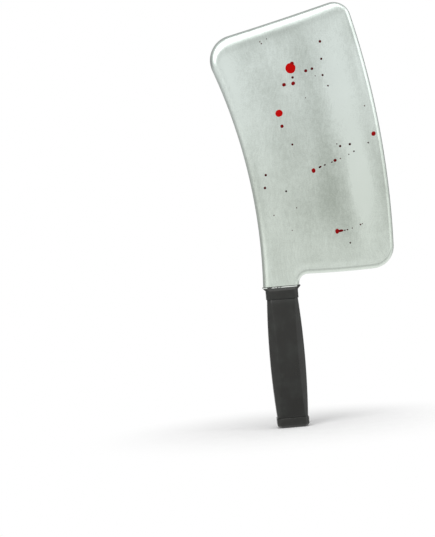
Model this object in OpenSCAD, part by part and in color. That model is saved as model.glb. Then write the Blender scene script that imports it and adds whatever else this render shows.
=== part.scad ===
// Hollow plastic meat cleaver for the stage, held upright by its grip.
// The blade is a pair of moulded half shells with a fully rounded rim. A stiffener bar runs
// from the blade through the shells' tang into the two-part octagonal grip, which a collar
// closes at the neck and a cap closes at the butt.
// Millimetres. The origin is the middle of the grip, +Z runs along the grip towards the
// blade, +X points to the cutting edge, and -Y is the front.

/* [Blade outline] */
// Width of the neck, where the blade stands on the collar
neck_w = 40; // [35:0.5:44]
// Height of the heel edge above the collar
heel_gap = 11.5; // [9:0.5:16]
// Distance from the grip's axis forward to the heel corner
heel_reach = 126; // [105:0.5:140]
// Distance from the grip's axis forward to the toe's front corner
toe_front_x = 96.5; // [80:0.5:115]
// Height of the toe's front corner above the collar
toe_front_h = 310.5; // [285:0.5:340]
// Distance from the grip's axis back to the toe's spine corner
toe_back_x = 66.5; // [50:0.5:80]
// Height of the toe's spine corner above the collar
toe_back_h = 272; // [250:0.5:300]
// Hollow of the spine below its chord
spine_bow = 16; // [8:0.5:22]
// Hollow of the toe edge below its chord
toe_bow = 1; // [0.3:0.1:3]
// Crown of the cutting edge above its chord
edge_bow = 12; // [4:0.5:18]
// Crown of the heel edge above its chord
heel_bow = 1.5; // [0.5:0.1:2]
// Radius of the corner between spine and toe
toe_back_r = 27.5; // [14:0.5:36]
// Radius of the corner between toe and cutting edge
toe_front_r = 19.5; // [13:0.5:30]
// Radius of the corner between cutting edge and heel
heel_r = 24.5; // [13:0.5:30]
// Radius of the hollow corner between heel and neck
throat_r = 11; // [5:0.5:11]

/* [Blade shells] */
// Thickness of the blade across both shells
blade_t = 18; // [14:0.5:22]
// Wall of each shell
shell_wall = 2.2; // [1.6:0.1:3]
// Thickness of a stiffening rib
rib_t = 1.6; // [1:0.1:2.4]
// Distance from rib to rib
rib_pitch = 42; // [30:1:60]
// Diameter of a register boss
boss_d = 9; // [7:0.5:12]
// Diameter of a register pin
pin_d = 4; // [3:0.5:5]
// Length of a register pin past the parting plane
pin_len = 4.5; // [3:0.5:5]

/* [Tang and stiffener] */
// Length of the shells' tang below the collar's top
tang_len = 82; // [60:1:110]
// Width of the stiffener bar
bar_w = 16; // [12:0.5:18]
// Thickness of the stiffener bar
bar_t = 5; // [3:0.5:6]
// Length of the stiffener bar inside the blade
bar_up = 110; // [60:1:180]
// Distance from the stiffener's lower end to the butt
bar_clear = 17; // [15:0.5:25]

/* [Grip] */
// Length of the handle from the collar's top to the butt
grip_len = 155; // [135:1:175]
// Width of the grip at its middle
grip_w = 38.5; // [36:0.5:42]
// Thickness of the grip at its middle
grip_t = 29; // [27:0.5:34]
// Swell of the grip's sides above their chord
grip_swell_w = 2.5; // [0.5:0.1:3]
// Swell of the grip's front and back above their chord
grip_swell_t = 2; // [0.5:0.1:2.5]
// Leg of the grip's long facets at its middle
facet = 8; // [6:0.5:10]
// Wall of the grip halves
grip_wall = 2.4; // [1.8:0.1:3]
// Thickness of the webs inside the grip
web_t = 2; // [1.4:0.1:3]
// Number of webs inside the grip
web_count = 5; // [3:1:7]

/* [Collar and butt cap] */
// Height of the collar
collar_h = 14; // [12:0.5:18]
// Height of the collar's upright lip below the blade
lip_h = 1.2; // [0.6:0.1:2]
// Overhang of the collar's top past the neck
lip = 0.8; // [0.4:0.1:1.5]
// How far collar and cap stand proud of the grip's ends
step = 0.8; // [0.4:0.1:1.5]
// Length of the spigots that collar and cap slide over
spigot_len = 6; // [4:0.5:8]
// Wall of the collar and the cap round a spigot
skirt_wall = 2.4; // [1.8:0.1:3]
// Height of the butt cap
cap_h = 11; // [10:0.5:14]
// Chamfer round the butt
cap_chamfer = 3; // [1.5:0.5:4]

/* [Screws] */
// Diameter of a screw's shank
screw_d = 3; // [2.5:0.1:3.5]
// Diameter of a screw's head
head_d = 6; // [5.2:0.1:7]
// Height of a screw's head
head_h = 2.4; // [1.8:0.1:3]
// Depth of a screw head's seat below the grip's back
head_depth = 4.6; // [3.6:0.1:5]
// Skin left in front of a screw's tip
tip_skin = 2; // [1.4:0.1:3]
// Distance from the collar's top down to the first screw
screw_first = 33; // [28:0.5:38]
// Distance from screw to screw
screw_pitch = 38; // [32:0.5:40]
// Number of screws
screw_count = 3; // [2:1:3]
// Diameter of the boss round a screw
screw_boss_d = 9.5; // [8:0.5:11]

/* [Fits] */
// Gap on each side of the bar, the tang and a spigot
fit_gap = 0.2; // [0.1:0.05:0.4]
// Radial gap round a register pin
pin_gap = 0.15; // [0.1:0.05:0.3]
// Radial gap round a screw's shank where it passes through
screw_gap = 0.25; // [0.15:0.05:0.4]
// Radial gap round a screw's thread
thread_gap = 0.05; // [0.04:0.01:0.1]
// Radial gap round a screw's head
head_gap = 0.3; // [0.2:0.05:0.5]
// Room past the end of a screw's tip or a register pin
tip_gap = 0.4; // [0.2:0.05:0.6]
// Gap between facing ribs at the parting plane
rib_gap = 0.3; // [0.2:0.05:0.6]

/* [Hidden] */
$fn = 48;

silver = [0.79, 0.81, 0.79];
black = [0.06, 0.07, 0.06];
steel = [0.62, 0.63, 0.64];
core = [0.30, 0.31, 0.33];

far = grip_len + toe_front_h;  // reach of a cut that has to clear the whole cleaver
over = shell_wall / 2;         // how far a cut runs past the face that it opens

// Heights along the grip's axis
collar_top = grip_len / 2;
collar_bottom = collar_top - collar_h;
butt = -grip_len / 2;
cap_top = butt + cap_h;
tang_bottom = collar_top - tang_len;
bar_top = collar_top + bar_up;
bar_bottom = butt + bar_clear;

// Tang and pockets, built outwards from the stiffener bar
tang_in_w = bar_w + 2 * fit_gap;
tang_in_t = bar_t + 2 * fit_gap;
tang_w = tang_in_w + 2 * shell_wall;
tang_t = tang_in_t + 2 * shell_wall;

// Grip section: the sum of x and y on a long facet, and the half sizes at either end
facet_sum = grip_w / 2 + grip_t / 2 - facet;
grip_mid = (collar_bottom + cap_top) / 2;
grip_half_len = (collar_bottom - cap_top) / 2;
end_w = grip_w / 2 - grip_swell_w;
end_t = grip_t / 2 - grip_swell_t;
recess_inset = skirt_wall - step;

// Screw stations
screw_zs = [for (i = [0 : screw_count - 1]) collar_top - screw_first - i * screw_pitch];
head_seat = grip_t / 2 - head_depth;
screw_tip = tip_skin - end_t;

// ---------- blade outline: arcs between corners, with a fillet in each corner ----------
// An arc is [centre, radius, sense]; its sense is 1 where it bulges outwards and -1 where
// it is hollow. The outline runs from the neck's front side round the heel, the cutting
// edge, the toe and the spine to the neck's back side, with the outside on the right hand.
rim_r = blade_t / 2;
floor_top = collar_top + shell_wall;   // inner face of the neck's floor
neck_front = [neck_w / 2, collar_top];
neck_back = [-neck_w / 2, collar_top];
heel_root = [neck_w / 2, collar_top + heel_gap];
heel_tip = [heel_reach, collar_top + heel_gap];
toe_front = [toe_front_x, collar_top + toe_front_h];
toe_back = [-toe_back_x, collar_top + toe_back_h];

function right_of(v) = [v[1], -v[0]] / norm(v);
function arc_over(p, q, bow) =
    let (r = (pow(norm(q - p), 2) / 4 + bow * bow) / (2 * bow))
    [(p + q) / 2 + right_of(q - p) * (bow - r), abs(r), sign(bow)];

heel_arc = arc_over(heel_root, heel_tip, heel_bow);
edge_arc = arc_over(heel_tip, toe_front, edge_bow);
toe_arc = arc_over(toe_front, toe_back, -toe_bow);
spine_arc = arc_over(toe_back, neck_back, -spine_bow);

// Centre of the circle of radius r that fills the corner between arcs a and b
function fillet_centre(a, b, corner, r) =
    let (d = b[0] - a[0], l = norm(d),
         ra = a[1] - a[2] * r, rb = b[1] - b[2] * r,
         u = (l * l + ra * ra - rb * rb) / (2 * l),
         v = sqrt(ra * ra - u * u),
         side = right_of(d) * v,
         foot = a[0] + d * (u / l))
    norm(foot + side - corner) < norm(foot - side - corner) ? foot + side : foot - side;
function touch(arc, c) = arc[0] + (c - arc[0]) * (arc[1] / norm(c - arc[0]));

heel_c = fillet_centre(heel_arc, edge_arc, heel_tip, heel_r);
toe_front_c = fillet_centre(edge_arc, toe_arc, toe_front, toe_front_r);
toe_back_c = fillet_centre(toe_arc, spine_arc, toe_back, toe_back_r);

// The hollow throat touches the neck's upright front side and the heel arc
throat = min(throat_r, heel_gap - heel_bow);
throat_c = [neck_w / 2 + throat,
            heel_arc[0][1] - sqrt(pow(heel_arc[1] + throat, 2)
                                  - pow(neck_w / 2 + throat - heel_arc[0][0], 2))];

// Stations [point, outward normal] along an arc from p towards q, without its last point
function bearing(v) = atan2(v[1], v[0]);
function turn(a) = a - 360 * floor((a + 180) / 360);
function stations(c, r, sense, p, q, n) =
    let (a0 = bearing(p - c), da = turn(bearing(q - c) - a0))
    [for (i = [0 : n - 1])
        let (a = a0 + da * i / n, ray = [cos(a), sin(a)])
        [c + r * ray, sense * ray]];

// Numbers of stations, whose sum is even
heel_n = 3;
long_n = 16;
toe_n = 5;
corner_n = 12;
throat_n = 6;
// The whole open chain; foot is how far it runs down from the collar's top
function outline(foot) = concat(
    [[neck_front - [0, foot], [1, 0]]],
    stations(throat_c, throat, -1, [neck_w / 2, throat_c[1]], touch(heel_arc, throat_c), throat_n),
    stations(heel_arc[0], heel_arc[1], 1,
             touch(heel_arc, throat_c), touch(heel_arc, heel_c), heel_n),
    stations(heel_c, heel_r, 1, touch(heel_arc, heel_c), touch(edge_arc, heel_c), corner_n),
    stations(edge_arc[0], edge_arc[1], 1,
             touch(edge_arc, heel_c), touch(edge_arc, toe_front_c), long_n),
    stations(toe_front_c, toe_front_r, 1,
             touch(edge_arc, toe_front_c), touch(toe_arc, toe_front_c), corner_n),
    stations(toe_arc[0], toe_arc[1], -1,
             touch(toe_arc, toe_front_c), touch(toe_arc, toe_back_c), toe_n),
    stations(toe_back_c, toe_back_r, 1,
             touch(toe_arc, toe_back_c), touch(spine_arc, toe_back_c), corner_n),
    stations(spine_arc[0], spine_arc[1], -1,
             touch(spine_arc, toe_back_c), neck_back, long_n),
    [[neck_back - [0, foot], [-1, 0]]]);

// Half of the blade's form on the front side. The rim is a quarter round in section; profile
// lists [inset from the outline, depth in front of the parting plane] from rim to face.
module half_form(foot, profile) {
    chain = outline(foot);
    n = len(chain);
    m = len(profile);
    points = [for (s = chain) for (k = profile)
        [s[0][0] - k[0] * s[1][0], -k[1], s[0][1] - k[0] * s[1][1]]];
    function at(i, k) = i * m + k;
    function quad(a, b, c, d) = [[a, b, c], [a, c, d]];
    // Both flat faces are strips between the chain's first half and its second half
    function across(i, k) = quad(at(i, k), at(i + 1, k), at(n - 2 - i, k), at(n - 1 - i, k));
    function flip(face) = [face[2], face[1], face[0]];
    polyhedron(points, concat(
        [for (i = [0 : n - 2]) for (k = [0 : m - 2])
            each quad(at(i, k), at(i, k + 1), at(i + 1, k + 1), at(i + 1, k))],
        [for (i = [0 : n / 2 - 2]) each across(i, 0)],
        [for (i = [0 : n / 2 - 2]) for (face = across(i, m - 1)) flip(face)],
        [[for (k = [m - 1 : -1 : 0]) at(0, k), for (k = [0 : m - 1]) at(n - 1, k)]]));
}

// Quarter round that lies depth below the skin, in n steps
function rim_profile(depth, n) =
    [for (k = [0 : n]) let (a = 90 * k / n)
        [rim_r - (rim_r - depth) * cos(a), (rim_r - depth) * sin(a)]];
skin_profile = rim_profile(0, 6);
cavity_profile = concat([[shell_wall, -over]], rim_profile(shell_wall, 6));
root_profile = rim_profile(shell_wall / 2, 4);  // where the ribs' roots end, inside the wall

// Places of the register pins: the three corner fillets' centres and the blade's middle
register_points = [heel_c, toe_front_c, toe_back_c, (heel_c + toe_back_c) / 2];

module block(x, y, z) {
    translate([x[0], y[0], z[0]]) cube([x[1] - x[0], y[1] - y[0], z[1] - z[0]]);
}

// A round bar along Y between two depths
module round_y(d, place, from, to) {
    translate([place[0], from, place[1]]) rotate([-90, 0, 0]) cylinder(d = d, h = to - from);
}

// Lattice of ribs behind the front face, open where the stiffener bar passes
module ribs() {
    low = floor_top;
    high = collar_top + toe_front_h;
    difference() {
        union() {
            for (x = [-rib_pitch : rib_pitch : heel_reach - rib_pitch / 2])
                block([x - rib_t / 2, x + rib_t / 2], [-rim_r, -rib_gap / 2], [low, high]);
            for (z = [low + rib_pitch : rib_pitch : high])
                block([-toe_back_x, heel_reach + edge_bow], [-rim_r, -rib_gap / 2],
                      [z - rib_t / 2, z + rib_t / 2]);
        }
        block([-tang_in_w / 2, tang_in_w / 2], [-tang_in_t / 2, over],
              [low - over, bar_top + fit_gap]);
    }
}

// Front half of the blade's skin with its half of the tang, up to the parting plane
module shell_half() {
    difference() {
        union() {
            half_form(0, skin_profile);
            block([-tang_w / 2, tang_w / 2], [-tang_t / 2, 0], [tang_bottom, floor_top]);
        }
        difference() {
            half_form(over, cavity_profile);
            block([-neck_w, neck_w], [-blade_t, blade_t], [collar_top - 2 * over, floor_top]);
            for (p = register_points) round_y(boss_d, p, -rim_r, 0);
        }
        block([-tang_in_w / 2, tang_in_w / 2], [-tang_in_t / 2, over],
              [tang_bottom - over, floor_top + over]);
        for (z = screw_zs) round_y(screw_d + 2 * screw_gap, [0, z], -tang_t, tang_t);
    }
}

// The skin with its lattice of ribs
module blade_half() {
    shell_half();
    intersection() {
        ribs();
        half_form(0, root_profile);
    }
}

module blade_front_shell() {
    color(silver) union() {
        blade_half();
        for (p = register_points) round_y(pin_d, p, shell_wall - rim_r, pin_len);
    }
}

module blade_back_shell() {
    color(silver) difference() {
        mirror([0, 1, 0]) union() blade_half();
        for (p = register_points) round_y(pin_d + 2 * pin_gap, p, -over, pin_len + tip_gap);
    }
}

module tang_stiffener() {
    color(core) difference() {
        block([-bar_w / 2, bar_w / 2], [-bar_t / 2, bar_t / 2], [bar_bottom, bar_top]);
        for (z = screw_zs) round_y(screw_d + 2 * screw_gap, [0, z], -bar_t, bar_t);
    }
}

// ---------- grip ----------
// Octagon whose sides lie w and t from the axis and whose facets meet x + y = sum
module octagon(w, t, sum) {
    polygon([[w, sum - w], [sum - t, t], [t - sum, t], [-w, sum - w],
             [-w, w - sum], [t - sum, -t], [sum - t, -t], [w, w - sum]]);
}

// Section of the grip at either end, drawn in by inset on every side
module end_section(inset) {
    octagon(end_w - inset, end_t - inset, facet_sum - inset * sqrt(2));
}

module end_prism(inset, low, high) {
    translate([0, 0, low]) linear_extrude(high - low) end_section(inset);
}

// Slab across the grip between two round faces that lie half size a from the axis at the
// grip's middle and fall in by the swell at its ends
module swell_lens(a, swell) {
    r = (pow(grip_half_len, 2) + swell * swell) / (2 * swell);
    rotate([90, 0, 0]) linear_extrude(far, center = true) intersection() {
        translate([a - r, grip_mid]) circle(r, $fn = 240);
        translate([r - a, grip_mid]) circle(r, $fn = 240);
    }
}

// Swollen octagonal bar, drawn in by inset on every long side, between two heights
module grip_form(inset, low, high) {
    w = grip_w / 2 - inset;
    t = grip_t / 2 - inset;
    intersection() {
        translate([0, 0, low]) linear_extrude(high - low)
            octagon(w, t, facet_sum - inset * sqrt(2));
        swell_lens(w, grip_swell_w);
        rotate([0, 0, 90]) swell_lens(t, grip_swell_t);
    }
}

// Both halves of the grip's inside in one block: hollow, with cross webs and screw bosses
module grip_hollow() {
    low = cap_top + grip_wall;
    high = collar_bottom - grip_wall;
    gap = (high - low - web_count * web_t) / (web_count + 1);
    difference() {
        grip_form(grip_wall, low, high);
        for (i = [1 : web_count]) let (z = low + i * gap + (i - 1) * web_t)
            block([-grip_w, grip_w], [-grip_t, grip_t], [z, z + web_t]);
        for (z = screw_zs) round_y(screw_boss_d, [0, z], -grip_t, grip_t);
    }
}

// Front half of the grip before its screw holes, with pockets for the tang and the bar
module grip_half() {
    spigot_inset = recess_inset + fit_gap;
    difference() {
        union() {
            grip_form(0, cap_top, collar_bottom);
            end_prism(spigot_inset, cap_top - spigot_len + fit_gap, cap_top + over);
            end_prism(spigot_inset, collar_bottom - over, collar_bottom + spigot_len - fit_gap);
        }
        block([-far, far], [0, far], [-far, far]);
        grip_hollow();
        block([-tang_w / 2 - fit_gap, tang_w / 2 + fit_gap],
              [-tang_t / 2 - fit_gap, over], [tang_bottom - fit_gap, collar_top]);
        block([-tang_in_w / 2, tang_in_w / 2],
              [-tang_in_t / 2, over], [bar_bottom - fit_gap, collar_top]);
    }
}

module handle_front_half() {
    color(black) difference() {
        grip_half();
        for (z = screw_zs)
            round_y(screw_d + 2 * thread_gap, [0, z], screw_tip - tip_gap, over);
    }
}

module handle_back_half() {
    color(black) difference() {
        mirror([0, 1, 0]) grip_half();
        for (z = screw_zs) {
            round_y(screw_d + 2 * screw_gap, [0, z], -over, grip_t);
            round_y(head_d + 2 * head_gap, [0, z], head_seat, grip_t);
        }
    }
}

module handle_screws() {
    color(steel) for (z = screw_zs) union() {
        round_y(screw_d, [0, z], screw_tip, head_seat + head_h / 2);
        round_y(head_d, [0, z], head_seat, head_seat + head_h);
    }
}

// ---------- collar and cap ----------
// Outline of the collar seen from one side: an upright lip of half width top, a sloping
// shoulder, and an upright skirt of half width bottom
module shoulder(top, bottom) {
    turn_z = collar_top - lip_h - abs(top - bottom);
    polygon([[top, collar_top], [top, collar_top - lip_h], [bottom, turn_z],
             [bottom, collar_bottom], [-bottom, collar_bottom], [-bottom, turn_z],
             [-top, collar_top - lip_h], [-top, collar_top]]);
}

module handle_collar() {
    top_w = neck_w / 2 + lip;
    top_t = blade_t / 2 + lip;
    color(black) difference() {
        intersection() {
            rotate([90, 0, 0]) linear_extrude(far, center = true)
                shoulder(top_w, end_w + step);
            rotate([90, 0, 90]) linear_extrude(far, center = true)
                shoulder(top_t, end_t + step);
            translate([0, 0, collar_bottom]) linear_extrude(collar_h)
                octagon(max(top_w, end_w + step), max(top_t, end_t + step),
                        facet_sum + step * sqrt(2));
        }
        end_prism(recess_inset, collar_bottom - over, collar_bottom + spigot_len);
        block([-tang_w / 2 - fit_gap, tang_w / 2 + fit_gap],
              [-tang_t / 2 - fit_gap, tang_t / 2 + fit_gap],
              [collar_bottom, collar_top + over]);
    }
}

// Outline of the cap seen from one side, chamfered at the butt
module cap_side(half) {
    polygon([[half, cap_top], [half, butt + cap_chamfer], [half - cap_chamfer, butt],
             [cap_chamfer - half, butt], [-half, butt + cap_chamfer], [-half, cap_top]]);
}

module butt_cap() {
    color(black) difference() {
        intersection() {
            rotate([90, 0, 0]) linear_extrude(far, center = true) cap_side(end_w + step);
            rotate([90, 0, 90]) linear_extrude(far, center = true) cap_side(end_t + step);
            end_prism(-step, butt, cap_top);
        }
        end_prism(recess_inset, cap_top - spigot_len, cap_top + over);
    }
}

blade_front_shell();
blade_back_shell();
tang_stiffener();
handle_collar();
handle_front_half();
handle_back_half();
handle_screws();
butt_cap();
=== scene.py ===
"""Dresses the frame of a hollow plastic stage cleaver: silver blade, black grip, paint drops."""

import math

import bmesh
import bpy
from mathutils import Matrix, Vector, kdtree, noise


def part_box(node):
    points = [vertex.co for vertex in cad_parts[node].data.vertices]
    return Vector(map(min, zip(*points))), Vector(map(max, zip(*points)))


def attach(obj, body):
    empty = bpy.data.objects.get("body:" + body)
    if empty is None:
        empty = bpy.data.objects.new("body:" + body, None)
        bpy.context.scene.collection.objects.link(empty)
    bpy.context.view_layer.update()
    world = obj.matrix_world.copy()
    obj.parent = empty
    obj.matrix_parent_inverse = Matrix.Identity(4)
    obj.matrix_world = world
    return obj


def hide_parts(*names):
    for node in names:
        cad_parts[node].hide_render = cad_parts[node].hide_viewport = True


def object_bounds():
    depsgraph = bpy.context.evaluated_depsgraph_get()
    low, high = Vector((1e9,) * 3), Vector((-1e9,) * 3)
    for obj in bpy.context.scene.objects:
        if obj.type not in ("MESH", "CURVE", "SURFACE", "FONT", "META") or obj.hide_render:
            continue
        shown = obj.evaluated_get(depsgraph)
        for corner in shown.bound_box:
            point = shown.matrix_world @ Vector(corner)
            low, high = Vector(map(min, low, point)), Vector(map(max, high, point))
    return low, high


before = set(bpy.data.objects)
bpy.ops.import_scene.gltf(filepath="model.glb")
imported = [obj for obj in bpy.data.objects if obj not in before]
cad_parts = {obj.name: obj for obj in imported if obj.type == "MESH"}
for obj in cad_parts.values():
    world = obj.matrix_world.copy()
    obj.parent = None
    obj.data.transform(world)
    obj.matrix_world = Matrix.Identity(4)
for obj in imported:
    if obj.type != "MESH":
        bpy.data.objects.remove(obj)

bl_info = {
    "name": "Stage Cleaver",
    "version": (1, 0, 0),
    "blender": (4, 5, 0),
    "location": "View3D > Sidebar > Cleaver",
    "description": "Builds the visible pieces of a hollow plastic stage cleaver",
    "category": "Add Mesh",
}

MM = 0.001
CAD_BOX = [list(corner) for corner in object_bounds()]
COLLAR_LOW, COLLAR_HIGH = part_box("handle_collar")
CAP_LOW, CAP_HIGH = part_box("butt_cap")
SHELL_LOW, SHELL_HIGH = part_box("blade_front_shell")
GRIP_LOW, GRIP_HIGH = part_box("handle_front_half")
SCREW_LOW, SCREW_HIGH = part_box("handle_screws")
RIM_DEPTH = -SHELL_LOW.y        # half the blade's thickness
TOUCHING = 1e-6                 # closer than this counts as the same place
LEVEL = 1e-5                    # the same for two heights on the grip
FACING = 0.99                   # a face turns this way when its normal has this share


# ---------- settings ----------

def length(name, text, value, **more):
    return bpy.props.FloatProperty(name=name, description=text, default=value, subtype="DISTANCE",
                                   unit="LENGTH", precision=4, **more)


def colour(name, text, value):
    return bpy.props.FloatVectorProperty(name=name, description=text, default=value, size=3,
                                         subtype="COLOR", min=0, max=1)


class BladeSettings(bpy.types.PropertyGroup):
    neck_width: length("Neck width", "Width of the blade where it stands on the collar", 0.040)
    heel_gap: length("Heel gap", "Height of the heel edge above the collar", 0.0115)
    heel_reach: length("Heel reach", "From the grip's axis forward to the heel corner", 0.126)
    toe_front_x: length("Toe front", "From the grip's axis to the toe's front corner", 0.0965)
    toe_front_h: length("Toe front height", "Height of the toe's front corner", 0.3105)
    toe_back_x: length("Toe back", "From the grip's axis back to the toe's spine corner", 0.0665)
    toe_back_h: length("Toe back height", "Height of the toe's spine corner", 0.272)
    spine_bow: length("Spine bow", "Hollow of the spine below its chord", 0.016)
    toe_bow: length("Toe bow", "Hollow of the toe edge", 0.001)
    edge_bow: length("Edge bow", "Crown of the cutting edge", 0.012)
    heel_bow: length("Heel bow", "Crown of the heel edge", 0.0015)
    toe_back_r: length("Toe back radius", "Corner between spine and toe", 0.0275)
    toe_front_r: length("Toe front radius", "Corner between toe and cutting edge", 0.0195)
    heel_r: length("Heel radius", "Corner between cutting edge and heel", 0.0245)
    wall: length("Wall", "Wall of each moulded shell", 0.0022)
    wave: length("Wave", "Deepest sag of the faces between their ribs", 0.0013)
    side_rim: length("Side rim", "Reach of the rim's rounding in from the other edges", 0.0065)
    toe_rim: length("Toe rim", "Reach of the rounding in from the toe edge", 0.0130)
    toe_taper: bpy.props.FloatProperty(name="Toe taper", default=0.24, min=0, max=1,
                                       description="How much narrower at the front corner",
                                       subtype="FACTOR")
    bead: length("Bead slope", "Width of the slope from the rim's crest down to the face", 0.005)
    sink: length("Sunk face", "How far the face lies below the rim's crest", 0.00006)
    toe_sink: length("Sunk toe", "The same beside the toe edge", 0.0003)
    seam: length("Seam", "Rounding of each shell's edge at the parting line", 0.0004)


class GripSettings(bpy.types.PropertyGroup):
    width: length("Width", "Width of the grip at its middle", 0.0385)
    depth: length("Depth", "Thickness of the grip at its middle", 0.029)
    swell_w: length("Side swell", "Swell of the sides above their chord", 0.0025)
    swell_t: length("Face swell", "Swell of front and back above their chord", 0.002)
    facet: length("Facet", "Leg of the long facets at the grip's middle", 0.008)
    step: length("Step", "How far collar and cap stand proud of the grip's ends", 0.0008)
    lip_h: length("Lip height", "Height of the collar's upright lip", 0.0012)
    chamfer: length("Butt chamfer", "Chamfer round the butt", 0.003)
    head_d: length("Screw head", "Diameter of a screw's head", 0.006)
    head_h: length("Screw head height", "Height of a screw's head", 0.0024)
    shank_d: length("Screw shank", "Diameter of a screw's shank", 0.003)
    head_gap: length("Head gap", "Gap round a screw's head", 0.0003)
    screw_pitch: length("Screw pitch", "Distance from screw to screw", 0.038)
    edge_round: length("Edge rounding", "Rounding of the grip's long edges", 0.0013)


class FinishSettings(bpy.types.PropertyGroup):
    # The silver's two tones; the clouds between them are partly the paint's own and partly painted
    # reflection
    silver_dark: colour("Silver, dark", "Paint in its darker clouds", (0.36, 0.40, 0.358))
    silver_light: colour("Silver, light", "Paint in its lighter clouds", (0.655, 0.712, 0.668))
    black: colour("Black plastic", "Moulded grip, collar and cap", (0.010, 0.010, 0.008))
    steel: colour("Screw steel", "Zinc-plated screws", (0.55, 0.56, 0.57))
    wet: colour("Wet drops", "Thick glossy paint drops", (0.49, 0.0006, 0.0))
    dry: colour("Dry drops", "Thin specks of the same paint", (0.018, 0.003, 0.005))
    core: colour("Core plastic", "Hidden stiffener bar", (0.09, 0.09, 0.10))


class StageSettings(bpy.types.PropertyGroup):
    floor: colour("Floor", "Colour of the floor", (0.95, 0.95, 0.95))
    floor_size: length("Floor size", "Width of the floor", 12.0)
    tilt: bpy.props.FloatProperty(name="Tilt", description="Lean of the cleaver in the picture",
                                  default=math.radians(5), subtype="ANGLE")
    distance: length("Camera distance", "From the camera to the grip's axis plane", 1.6408)
    lens: bpy.props.FloatProperty(name="Lens", description="Focal length in millimetres",
                                  default=100)
    aim_x: length("Aim across", "Middle of the picture across the cleaver", -0.0681)
    aim_z: length("Aim height", "Middle of the picture along the cleaver", 0.1028)


# ---------- modelling by hand ----------

def close_piece():
    bpy.ops.object.mode_set(mode="OBJECT")


def clear_selection():
    if bpy.context.object and bpy.context.object.mode != "OBJECT":
        close_piece()
    bpy.ops.object.select_all(action="DESELECT")


def make_active(piece):
    clear_selection()
    piece.select_set(True)
    bpy.context.view_layer.objects.active = piece


def open_piece(piece):
    """Enters edit mode on a piece."""
    make_active(piece)
    bpy.ops.object.mode_set(mode="EDIT")


def start_piece(name):
    """Names the primitive that was just added and enters edit mode on it."""
    piece = bpy.context.object
    piece.name = piece.data.name = name
    bpy.ops.object.mode_set(mode="EDIT")
    return piece


def editing(piece):
    return bmesh.from_edit_mesh(piece.data)


def update(piece):
    bmesh.update_edit_mesh(piece.data)


def select_all():
    bpy.ops.mesh.select_all(action="SELECT")


def select_where(piece, kind, test):
    """Selects only those vertices, edges or faces of the edited piece that pass the test."""
    bpy.ops.mesh.select_mode(type={"verts": "VERT", "edges": "EDGE", "faces": "FACE"}[kind])
    bpy.ops.mesh.select_all(action="DESELECT")
    mesh = editing(piece)
    for item in getattr(mesh, kind):
        if test(item):
            item.select_set(True)
    mesh.select_flush_mode()
    update(piece)


def bevel_where(piece, test, width, segments):
    """Rounds those edges of the edited piece whose two ends pass the test."""
    select_where(piece, "edges", lambda e: all(test(v) for v in e.verts))
    bpy.ops.mesh.bevel(offset=width, segments=segments, affect="EDGES")


def modifier(piece, kind, **values):
    """Adds a modifier to the piece and applies it."""
    make_active(piece)
    added = piece.modifiers.new(kind.title(), kind)
    for key, value in values.items():
        setattr(added, key, value)
    bpy.ops.object.modifier_apply(modifier=added.name)


def soften(piece, width):
    """Rounds the sharp edges of a piece."""
    modifier(piece, "BEVEL", width=width, segments=3, limit_method="ANGLE",
             angle_limit=math.radians(20))


def normals_out(piece):
    open_piece(piece)
    select_all()
    bpy.ops.mesh.normals_make_consistent(inside=False)
    close_piece()


def finish_piece(piece, paint, angle, replaces=()):
    """Places, smooths and paints a piece, and hangs it on the frame."""
    make_active(piece)
    bpy.ops.object.transform_apply(location=True, rotation=True, scale=True)
    bpy.ops.object.shade_smooth_by_angle(angle=math.radians(angle))
    piece.data.materials.clear()
    piece.data.materials.append(paint)
    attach(piece, "root")
    if replaces:
        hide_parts(*replaces)
    clear_selection()


def dress(piece, name, node, angle):
    """Finishes a piece in the named material, in the place of its CAD node."""
    finish_piece(piece, material(name), angle, [node])


def cut(piece, cutter):
    """Cuts the piece with another and removes the cutter."""
    modifier(piece, "BOOLEAN", operation="DIFFERENCE", solver="EXACT", object=cutter)
    bpy.data.objects.remove(cutter)


def join(pieces, name):
    clear_selection()
    for piece in pieces:
        piece.select_set(True)
    bpy.context.view_layer.objects.active = pieces[0]
    bpy.ops.object.join()
    joined = bpy.context.object
    joined.name = joined.data.name = name
    return joined


# ---------- blade outline: arcs with a fillet in each corner ----------

def right_of(v):
    return Vector((v.y, -v.x)).normalized()


def arc_over(p, q, bow):
    """Centre, radius and sense of the arc from p to q that bulges by bow to the right."""
    radius = ((q - p).length ** 2 / 4 + bow * bow) / (2 * bow)
    return (p + q) / 2 + right_of(q - p) * (bow - radius), abs(radius), math.copysign(1, bow)


def fillet_centre(a, b, corner, r):
    d = b[0] - a[0]
    ra, rb = a[1] - a[2] * r, b[1] - b[2] * r
    u = (d.length_squared + ra * ra - rb * rb) / (2 * d.length)
    side = right_of(d) * math.sqrt(ra * ra - u * u)
    foot = a[0] + d.normalized() * u
    return min(foot + side, foot - side, key=lambda c: (c - corner).length)


def touch(arc, centre):
    return arc[0] + (centre - arc[0]).normalized() * arc[1]


def along(centre, radius, sense, p, q, count, first=0.0, last=1.0):
    """Points with outward normals on an arc from p towards q, without the last one."""
    a0 = math.atan2(*(p - centre).yx)
    turn = (math.atan2(*(q - centre).yx) - a0 + math.pi) % (2 * math.pi) - math.pi
    rays = []
    for i in range(count):
        a = a0 + turn * (first + (last - first) * i / count)
        ray = Vector((math.cos(a), math.sin(a)))
        rays.append((centre + ray * radius, ray * sense))
    return rays


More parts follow.
